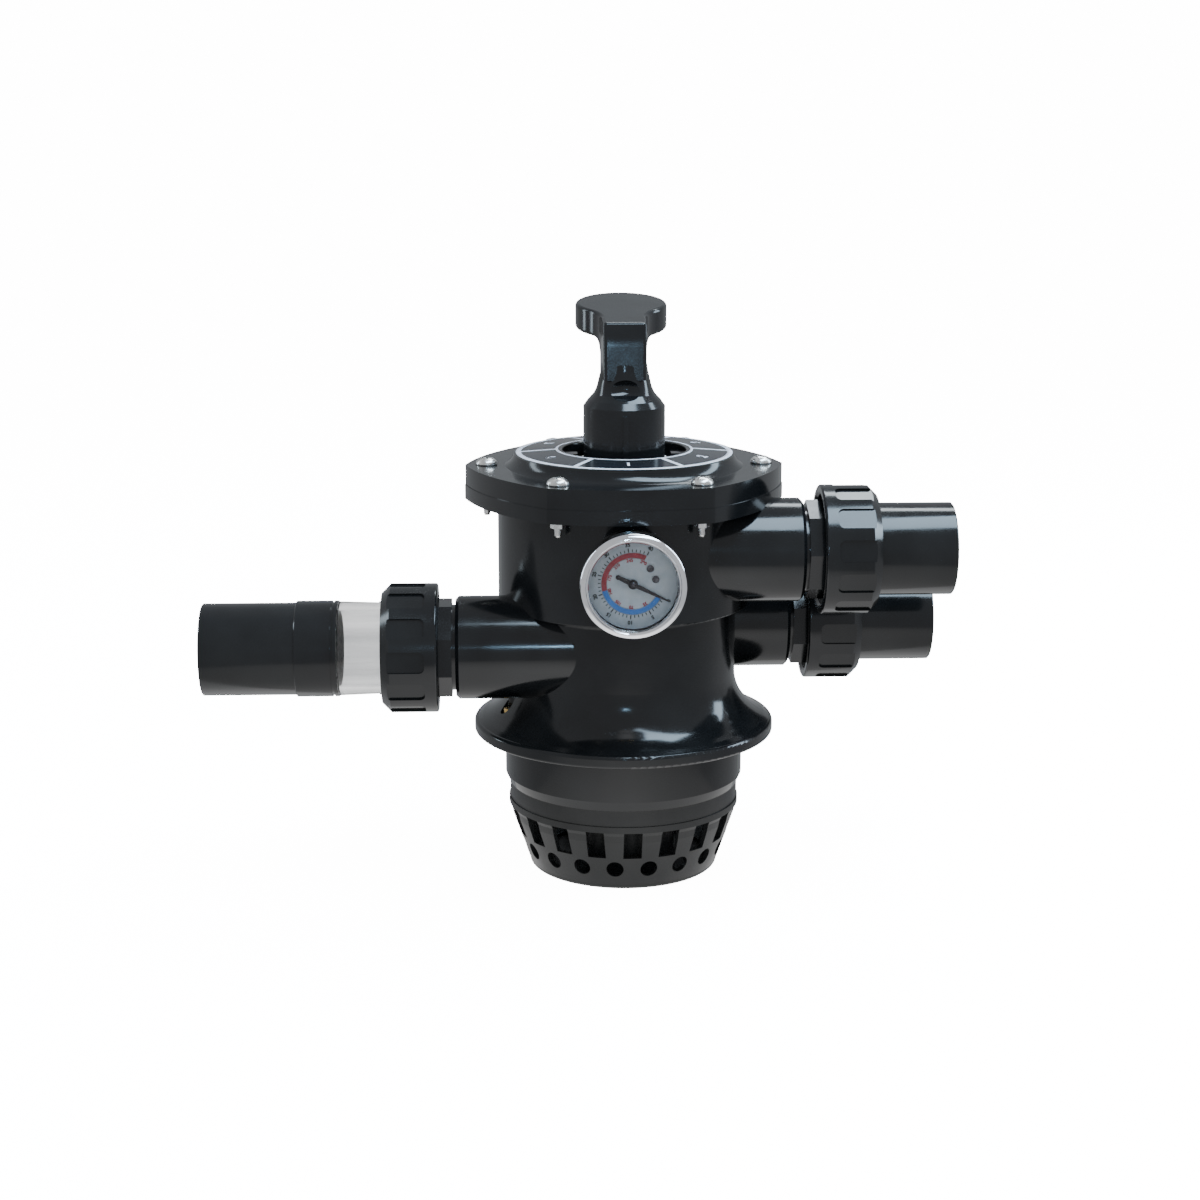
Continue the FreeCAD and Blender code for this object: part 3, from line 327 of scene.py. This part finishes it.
POSITIONS = 6
LABEL_IN = 0.036          # inner radius of the label plate
LABEL_EDGE = 0.0004       # the plate's thickness at its rim
LABEL_INK = 0.00012
OUTER_RING = 0.0028       # widths of the two printed rings
INNER_RING = 0.0014
RING_GAP = 0.0001         # bare plate inside the inner ring
SPOKE_HALF = 0.0012
SPOKE_LAP = 0.0002        # how far a spoke runs into each ring
NUMBER_R, NUMBER_HIGH, NUMBER_TILT = 0.0473, 0.0075, 5


def label_height(radius):
    """Height of the sloping label plate at a radius."""
    low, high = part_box("label_plate")
    rim = low.z + LABEL_EDGE
    return rim + (high.z - rim) * (high.x - radius) / (high.x - LABEL_IN)


def label_ring(name, inner, outer):
    profile = [(inner, label_height(inner)), (inner, label_height(inner) + LABEL_INK),
               (outer, label_height(outer) + LABEL_INK), (outer, label_height(outer))]
    new_piece(name, lathe(profile, 144), WHITE_INK, "valve")


def build_label():
    """White rings and spokes on the dial plate, with the positions numbered."""
    plate_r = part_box("label_plate")[1].x
    inner_ring = LABEL_IN + RING_GAP + INNER_RING
    outer_ring = plate_r - OUTER_RING
    label_ring("label_outer_ring", outer_ring, plate_r)
    label_ring("label_inner_ring", LABEL_IN + RING_GAP, inner_ring)
    bm = bmesh.new()
    ends = inner_ring - SPOKE_LAP, outer_ring + SPOKE_LAP
    for sector in range(POSITIONS):
        turn = Matrix.Rotation(math.radians(60 * sector), 3, "Z")
        base = [turn @ Vector((ends[end], side * SPOKE_HALF, label_height(ends[end])))
                for end, side in ((0, -1), (0, 1), (1, 1), (1, -1))]
        prism(bm, base, [point + Vector((0, 0, LABEL_INK)) for point in base])
    bmesh.ops.recalc_face_normals(bm, faces=bm.faces)
    new_piece("label_spokes", bm, WHITE_INK, "valve", smooth=False)
    for sector in range(POSITIONS):
        turn = 60 * sector - 90
        x, y = polar(NUMBER_R, turn)
        lettering(f"label_number_{sector + 1}", str(sector + 1), NUMBER_HIGH,
                  Matrix.Translation((x, y, label_height(NUMBER_R) + LABEL_INK))
                  @ Matrix.Rotation(math.radians(turn + 90), 4, "Z")
                  @ Matrix.Rotation(math.radians(NUMBER_TILT), 4, "X"), WHITE_INK, "valve")


# ---------------------------------------------------------------- screws on the lid

SCREWS = 6
WASHER_R = 0.0045
SHANK_R = 0.002
SCREW_LONG = 0.0278       # shank length below the head
HEAD_R, HEAD_RIM = 0.0059, 0.0007
THREAD_TURNS, THREAD_DEEP = 7, 0.0003
POINT_IN, POINT_PAST = 0.0005, 0.0006
CROSS_SIZE, CROSS_RISE = (0.0058, 0.0013, 0.0034), 0.0002
FIRST_TURN = 0.4          # how far the first head is turned, in radians; each next is 1 more


def screw_profile(head_high, thread, tip):
    """Half outline of a screw from its top down; its seat is at height 0."""
    profile = [(0.0, head_high)]
    for k in range(1, 9):
        a = math.radians(90 * k / 8)
        profile.append((HEAD_R * math.sin(a), HEAD_RIM + (head_high - HEAD_RIM) * math.cos(a)))
    profile += [(HEAD_R, 0.0), (SHANK_R, 0.0), (SHANK_R, thread)]
    pitch = (tip + POINT_PAST - thread) / THREAD_TURNS
    for k in range(THREAD_TURNS):
        profile += [(SHANK_R, thread + pitch * k),
                    (SHANK_R - THREAD_DEEP, thread + pitch * (k + 0.5))]
    return profile + [(SHANK_R - POINT_IN, tip), (0.0, tip)]


def build_screws():
    """Domed heads with a cross recess, on plain shanks with thread rings below the nuts."""
    low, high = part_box("lid_screws")
    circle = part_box("lid_washers")[1].x - WASHER_R
    seat = low.z + SCREW_LONG
    profile = screw_profile(high.z - seat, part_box("lid_nuts")[0].z - seat, low.z - seat)
    bm, cut = bmesh.new(), bmesh.new()
    for i in range(SCREWS):
        x, y = polar(circle, 60 * i)
        part = lathe(profile, 32, closed=False)
        place = Matrix.Translation((x, y, seat)) @ Matrix.Rotation(FIRST_TURN + i, 4, "Z")
        bmesh.ops.transform(part, matrix=place, verts=part.verts)
        merge(bm, part)
        for turn in (0, 90):
            slot = bmesh.new()
            bmesh.ops.create_cube(slot, size=1)
            place = (Matrix.Translation((x, y, high.z + CROSS_RISE))
                     @ Matrix.Rotation(FIRST_TURN + i + math.radians(turn), 4, "Z")
                     @ Matrix.Diagonal((*CROSS_SIZE, 1)))
            bmesh.ops.transform(slot, matrix=place, verts=slot.verts)
            merge(cut, slot)
    screws = new_piece("lid_screws_detail", bm, STEEL, "valve")
    apply_cut(screws, cut)
    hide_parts("lid_screws")


def apply_cut(piece, cutter_bm):
    """Cut one mesh from a piece and keep the result."""
    mesh = to_mesh("cutter", cutter_bm)
    cutter = link_object("cutter", mesh)
    boolean = piece.modifiers.new("cut", "BOOLEAN")
    boolean.operation = "DIFFERENCE"
    boolean.object = cutter
    boolean.solver = "EXACT"
    boolean.use_self = True
    graph = bpy.context.evaluated_depsgraph_get()
    result = bpy.data.meshes.new_from_object(piece.evaluated_get(graph))
    piece.modifiers.clear()
    piece.data = result
    bpy.data.objects.remove(cutter)
    bpy.data.meshes.remove(mesh)


# ---------------------------------------------------------------- gauge dial

GAUGE_ZERO = -26          # degrees anticlockwise from +X, seen from the front
GAUGE_SWEEP = 270         # clockwise
SCALE_LOW, SCALE_HIGH = 360 + GAUGE_ZERO - GAUGE_SWEEP, 360 + GAUGE_ZERO
COLOUR_CHANGE = 194       # where the blue band meets the red one
BAND_IN, BAND_OUT = 0.0135, 0.0161
DIAL_INK = 0.00006
LINE_HALF, LINE_GAP = 0.00006, 0.0002
TICKS, TICKS_PER_NUMBER = 40, 5
TICK_GAP = 0.0004         # from the red and blue band to the ticks
LONG_TICK = 0.0186, 0.00032       # outer end and half width
SHORT_TICK = 0.0179, 0.00024
OUTER_SCALE = "low", 0.0203, 0.0027, 5, DIAL_BLACK      # name, radius, height, step, ink
INNER_SCALE = "kpa", 0.0122, 0.0023, 35, DIAL_RED

NEEDLE_LIFT = 0.0013      # from the dial's face to the needle
NEEDLE_THICK = 0.0004
NEEDLE_HALF = [(0.0202, 0.0004), (0.002, 0.0012), (-0.002, 0.0013), (-0.0075, 0.0010)]
TAIL_AT, TAIL_LONG, TAIL_WIDE = -0.0084, 0.0014, 0.0013
HUB_R, HUB_HIGH = 0.0025, 0.0009
ARBOR_R, ARBOR_DEEP = 0.0008, 0.0088
CAP_PROFILE = [(0.0, 0.0), (0.0014, 0.0), (0.0014, 0.0005), (0.0011, 0.0008), (0.0, 0.0009)]


def gauge_frame(lift=0.0):
    """Local frame of the dial: X right, Y up, Z towards the viewer in front."""
    low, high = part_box("gauge_dial")
    centre = Vector(((low.x + high.x) / 2, low.y - lift, (low.z + high.z) / 2))
    return Matrix.Translation(centre) @ Matrix.Rotation(math.radians(90), 4, "X")


def dial_band(name, inner, outer, start, end, material):
    """Printed arc on the dial between two radii and two angles in degrees."""
    bm = lathe([(inner, 0), (inner, DIAL_INK), (outer, DIAL_INK), (outer, 0)], 64,
               start=math.radians(start), end=math.radians(end))
    bmesh.ops.transform(bm, matrix=gauge_frame(), verts=bm.verts)
    new_piece(name, bm, material, "valve", smooth=False)


def build_ticks():
    bm = bmesh.new()
    inner = BAND_OUT + TICK_GAP
    for step in range(TICKS + 1):
        outer, half = SHORT_TICK if step % TICKS_PER_NUMBER else LONG_TICK
        turn = Matrix.Rotation(math.radians(GAUGE_ZERO - GAUGE_SWEEP * step / TICKS), 2)
        corners = [(inner, -half), (outer, -half), (outer, half), (inner, half)]
        flat_plate(bm, [turn @ Vector(corner) for corner in corners], 0, DIAL_INK)
    bmesh.ops.transform(bm, matrix=gauge_frame(), verts=bm.verts)
    new_piece("gauge_ticks", bm, DIAL_BLACK, "valve", smooth=False)


def build_gauge_print():
    """Red and blue band, its two outlines, the ticks and two plain number scales."""
    dial_band("gauge_band_blue", BAND_IN, BAND_OUT, COLOUR_CHANGE, SCALE_HIGH, DIAL_BLUE)
    dial_band("gauge_band_red", BAND_IN, BAND_OUT, SCALE_LOW, COLOUR_CHANGE, DIAL_RED)
    for radius in (BAND_IN - LINE_GAP, BAND_OUT + LINE_GAP):
        dial_band(f"gauge_line_{radius * 1e4:.0f}", radius - LINE_HALF, radius + LINE_HALF,
                  SCALE_LOW, SCALE_HIGH, DIAL_BLACK)
    build_ticks()
    numbers = TICKS // TICKS_PER_NUMBER
    for step in range(numbers + 1):
        angle = GAUGE_ZERO - GAUGE_SWEEP * step / numbers
        for kind, radius, height, worth, ink in (OUTER_SCALE, INNER_SCALE):
            x, y = polar(radius, angle)
            lettering(f"gauge_{kind}_{step}", str(worth * step), height,
                      gauge_frame() @ Matrix.Translation((x, y, DIAL_INK))
                      @ Matrix.Rotation(math.radians(angle - 90), 4, "Z"), ink, "valve")


def build_needle():
    """Tapered needle with a round tail and a capped hub, in the CAD needle's place."""
    at = gauge_frame(NEEDLE_LIFT) @ Matrix.Rotation(math.radians(GAUGE_ZERO), 4, "Z")
    bm = bmesh.new()
    outline = NEEDLE_HALF + [(x, -y) for x, y in reversed(NEEDLE_HALF)]
    flat_plate(bm, outline, 0, NEEDLE_THICK)
    angles = [k * math.pi / 8 for k in range(16)]
    tail = [(TAIL_AT + TAIL_LONG * math.cos(a), TAIL_WIDE * math.sin(a)) for a in angles]
    flat_plate(bm, tail, 0, NEEDLE_THICK)
    for radius, low, high in ((HUB_R, 0.0, HUB_HIGH), (ARBOR_R, -ARBOR_DEEP, 0.0)):
        flat_plate(bm, [polar(radius, 15 * k) for k in range(24)], low, high)
    bmesh.ops.transform(bm, matrix=at, verts=bm.verts)
    needle = new_piece("needle_detail", bm, DIAL_BLACK, "needle", smooth=False)
    bevel = needle.modifiers.new("edge", "BEVEL")
    bevel.width = 0.0001
    bevel.segments = 2
    cap = lathe(CAP_PROFILE, 32, closed=False)
    bmesh.ops.transform(cap, matrix=at @ Matrix.Translation((0, 0, HUB_HIGH)), verts=cap.verts)
    hub = new_piece("needle_cap", cap, SCREW_DARK, "needle")
    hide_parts("gauge_needle")


# ---------------------------------------------------------------- spring

WIRE_R, COIL_R, COIL_TURNS = 0.0015, 0.0155, 5.0
CLOSED_TURNS = 0.75       # flat turns at each end
COIL_STEPS, WIRE_SIDES = 320, 12


def build_spring():
    """Coil with closed ends."""
    low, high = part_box("rotor_spring")
    bottom, top = low.z + WIRE_R, high.z - WIRE_R
    bm = bmesh.new()
    rings = []
    for i in range(COIL_STEPS + 1):
        turned = COIL_TURNS * i / COIL_STEPS
        climb = (turned - CLOSED_TURNS) / (COIL_TURNS - 2 * CLOSED_TURNS)
        level = min(max(climb, 0.0), 1.0)
        a = 2 * math.pi * turned
        out = Vector((math.cos(a), math.sin(a), 0))
        centre = out * COIL_R + Vector((0, 0, bottom + (top - bottom) * level))
        ring = []
        for k in range(WIRE_SIDES):
            b = 2 * math.pi * k / WIRE_SIDES
            ring.append(bm.verts.new(centre + out * WIRE_R * math.cos(b)
                                     + Vector((0, 0, WIRE_R * math.sin(b)))))
        rings.append(ring)
    for one, two in zip(rings, rings[1:]):
        for k in range(WIRE_SIDES):
            n = (k + 1) % WIRE_SIDES
            bm.faces.new((one[k], one[n], two[n], two[k]))
    bm.faces.new(rings[0][::-1])
    bm.faces.new(rings[-1])
    bmesh.ops.recalc_face_normals(bm, faces=bm.faces)
    coil = new_piece("spring_coil", bm, WIRE, "carrier")
    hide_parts("rotor_spring")
    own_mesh(coil)


# ---------------------------------------------------------------- studio

ROOM = 1.5                # the room's brightness for plain surfaces and through clear ones
FLOOR_WHITE = 0.82        # how much light the floor's paint returns
FLOOR_GLOW = 14.0         # added so that the camera sees the floor as plain white
FLOOR_HALF = 60
BOUNCE_WIDE = 0.26        # half width of the bounce oval
BOUNCE_BACK, BOUNCE_FRONT = 0.09, -0.47
BOUNCE_LEVEL = 0.9        # its glow at the rim
BOUNCE_PEAK = 1.3         # what the middle adds to that
GLOSS_FRONT = 0.59, 0.60, 0.62      # the room that gloss mirrors
GLOSS_BACK = 0.38, 0.40, 0.42
GLOSS_BELOW = 1.1         # what looking down adds to it


def build_floor(height):
    """White floor that only the camera sees: it lights nothing and nothing mirrors it."""
    bm = bmesh.new()
    bmesh.ops.create_grid(bm, x_segments=2, y_segments=2, size=FLOOR_HALF)
    bmesh.ops.translate(bm, verts=bm.verts, vec=(0, 0, height))
    floor = link_object("floor", to_mesh("floor", bm))
    paint = printed("floor_paint", (FLOOR_WHITE - 0.02,) * 3, (FLOOR_WHITE + 0.02,) * 3, 0.7)
    shader = paint.node_tree.nodes["Principled BSDF"]
    shader.inputs["Specular IOR Level"].default_value = 0.0
    shader.inputs["Emission Color"].default_value = (1, 1, 1, 1)
    shader.inputs["Emission Strength"].default_value = FLOOR_GLOW
    floor.data.materials.append(paint)
    floor.visible_glossy = False
    floor.visible_diffuse = False
    floor.visible_transmission = False


def bounce_paint():
    """Glow that fades from the middle of an oval to its rim."""
    paint, tree, shader = new_material("bounce_glow")
    shader.inputs["Base Color"].default_value = (0, 0, 0, 1)
    shader.inputs["Specular IOR Level"].default_value = 0.0
    shader.inputs["Emission Color"].default_value = (1, 1, 1, 1)
    coords = tree.nodes.new("ShaderNodeTexCoord")
    centred = tree.nodes.new("ShaderNodeMapping")
    centred.inputs["Location"].default_value = (-1, -1, 0)
    centred.inputs["Scale"].default_value = (2, 2, 0)
    fade = tree.nodes.new("ShaderNodeTexGradient")
    fade.gradient_type = "SPHERICAL"
    level = tree.nodes.new("ShaderNodeMath")
    level.operation = "MULTIPLY_ADD"
    level.inputs[1].default_value = BOUNCE_PEAK
    level.inputs[2].default_value = BOUNCE_LEVEL
    tree.links.new(coords.outputs["Generated"], centred.inputs["Vector"])
    tree.links.new(centred.outputs["Vector"], fade.inputs["Vector"])
    tree.links.new(fade.outputs["Fac"], level.inputs[0])
    tree.links.new(level.outputs["Value"], shader.inputs["Emission Strength"])
    return paint


def build_bounce(height):
    """Pale oval of floor before the valve that only gloss sees."""
    bm = bmesh.new()
    bmesh.ops.create_circle(bm, cap_ends=True, segments=64, radius=1)
    bmesh.ops.scale(bm, verts=bm.verts, vec=(BOUNCE_WIDE, (BOUNCE_BACK - BOUNCE_FRONT) / 2, 1))
    bmesh.ops.translate(bm, verts=bm.verts, vec=(0, (BOUNCE_BACK + BOUNCE_FRONT) / 2, height))
    patch = link_object("bounce", to_mesh("bounce", bm))
    patch.data.materials.append(bounce_paint())
    patch.visible_camera = False
    patch.visible_diffuse = False
    patch.visible_transmission = False
    patch.visible_shadow = False


def area_light(name, place, aim, width, depth, power, colour, glints=True):
    """Rectangular light; without glints, gloss doesn't mirror it."""
    light = bpy.data.lights.new(name, "AREA")
    light.shape = "RECTANGLE"
    light.size, light.size_y = width, depth
    light.energy = power
    light.color = colour
    lamp = link_object(name, light)
    lamp.location = place
    direction = Vector(aim) - Vector(place)
    lamp.rotation_euler = direction.to_track_quat("-Z", "Y").to_euler()
    lamp.visible_glossy = glints


def build_lights():
    """Cool lights above and beside the valve, and a small one for the handle's neck."""
    aim = (0, 0, 0.09)
    area_light("overhead", (0.38, -0.25, 1.25), aim, 1.15, 0.42, 28, (0.62, 0.82, 1.0))
    area_light("overhead_back", (0.4, 0.7, 1.2), aim, 1.0, 0.25, 11, (0.85, 0.94, 1.0))
    area_light("front_left", (-0.9, -1.5, 0.55), aim, 0.4, 0.7, 1.5, (0.9, 0.96, 1.0),
               glints=False)
    area_light("right_rim", (1.3, 0.3, 0.7), aim, 0.3, 1.0, 12, (0.66, 0.84, 1.0))
    area_light("lever_glint", (-0.015, -1.5, 0.39), (0, 0, 0.21), 0.05, 0.05, 1.2,
               (0.42, 0.72, 1.0))
    area_light("left_rim", (-1.3, 0.45, 0.5), aim, 0.2, 1.0, 5, (0.75, 0.9, 1.0))


def build_world():
    """White for the camera, a grey room brighter from below for gloss, ROOM for the rest."""
    world = bpy.data.worlds.new("studio")
    bpy.context.scene.world = world
    world.use_nodes = True
    tree = world.node_tree
    path = tree.nodes.new("ShaderNodeLightPath")
    coords = tree.nodes.new("ShaderNodeTexCoord")
    split = tree.nodes.new("ShaderNodeSeparateXYZ")
    tree.links.new(coords.outputs["Generated"], split.inputs["Vector"])
    below = tree.nodes.new("ShaderNodeMapRange")
    below.inputs["From Min"].default_value = -0.5
    below.inputs["From Max"].default_value = -0.95
    below.inputs["To Max"].default_value = GLOSS_BELOW
    tree.links.new(split.outputs["Z"], below.inputs["Value"])
    gloss = tree.nodes.new("ShaderNodeVectorMath")
    gloss.operation = "ADD"
    tree.links.new(ramp(tree, split.outputs["Y"], GLOSS_FRONT, GLOSS_BACK, 0.35, 0.95),
                   gloss.inputs[0])
    tree.links.new(below.outputs["Result"], gloss.inputs[1])
    mirrored = tree.nodes.new("ShaderNodeMath")
    mirrored.operation = "SUBTRACT"
    mirrored.use_clamp = True
    tree.links.new(path.outputs["Is Glossy Ray"], mirrored.inputs[0])
    tree.links.new(path.outputs["Is Transmission Ray"], mirrored.inputs[1])
    unseen = tree.nodes.new("ShaderNodeMix")
    unseen.data_type = "RGBA"
    unseen.inputs["A"].default_value = (ROOM, ROOM, ROOM, 1)
    tree.links.new(gloss.outputs["Vector"], unseen.inputs["B"])
    tree.links.new(mirrored.outputs["Value"], unseen.inputs["Factor"])
    horizon = ROOM * FLOOR_WHITE + FLOOR_GLOW
    seen = tree.nodes.new("ShaderNodeMix")
    seen.data_type = "RGBA"
    seen.inputs["B"].default_value = (horizon, horizon, horizon, 1)
    tree.links.new(unseen.outputs["Result"], seen.inputs["A"])
    tree.links.new(path.outputs["Is Camera Ray"], seen.inputs["Factor"])
    tree.links.new(seen.outputs["Result"], tree.nodes["Background"].inputs["Color"])


def build_camera():
    """Long lens that stands a little left of the middle and looks down on the lid."""
    camera = bpy.data.cameras.new("camera")
    camera.lens = 68.4
    camera.sensor_width = 36
    camera.clip_start = 0.05
    holder = link_object("camera", camera)
    turn = math.radians(2.2)
    pitch = math.radians(13.1)
    away, height, offset = 1.23, 0.3586, 0.01313
    across = Vector((math.cos(turn), -math.sin(turn), 0))
    ahead = Vector((math.sin(turn), math.cos(turn), 0))
    holder.location = -ahead * away - across * offset + Vector((0, 0, height))
    look = ahead * math.cos(pitch) - Vector((0, 0, 1)) * math.sin(pitch)
    holder.rotation_euler = look.to_track_quat("-Z", "Y").to_euler()
    bpy.context.scene.camera = holder


dress_cad()
for nut in ("waste_nut", "pump_nut", "return_nut"):
    soften(nut, 0.0006)
soften("valve_body", 0.0008)
soften("lid", 0.0007)
soften("handle", 0.0008, 3, 25)
soften("diffuser_basket", 0.0004, 2)
build_label()
build_screws()
build_gauge_print()
build_needle()
build_spring()
floor_height = cad_box[0][2]
build_floor(floor_height)
build_bounce(floor_height + 0.0002)
build_world()
build_lights()
build_camera()
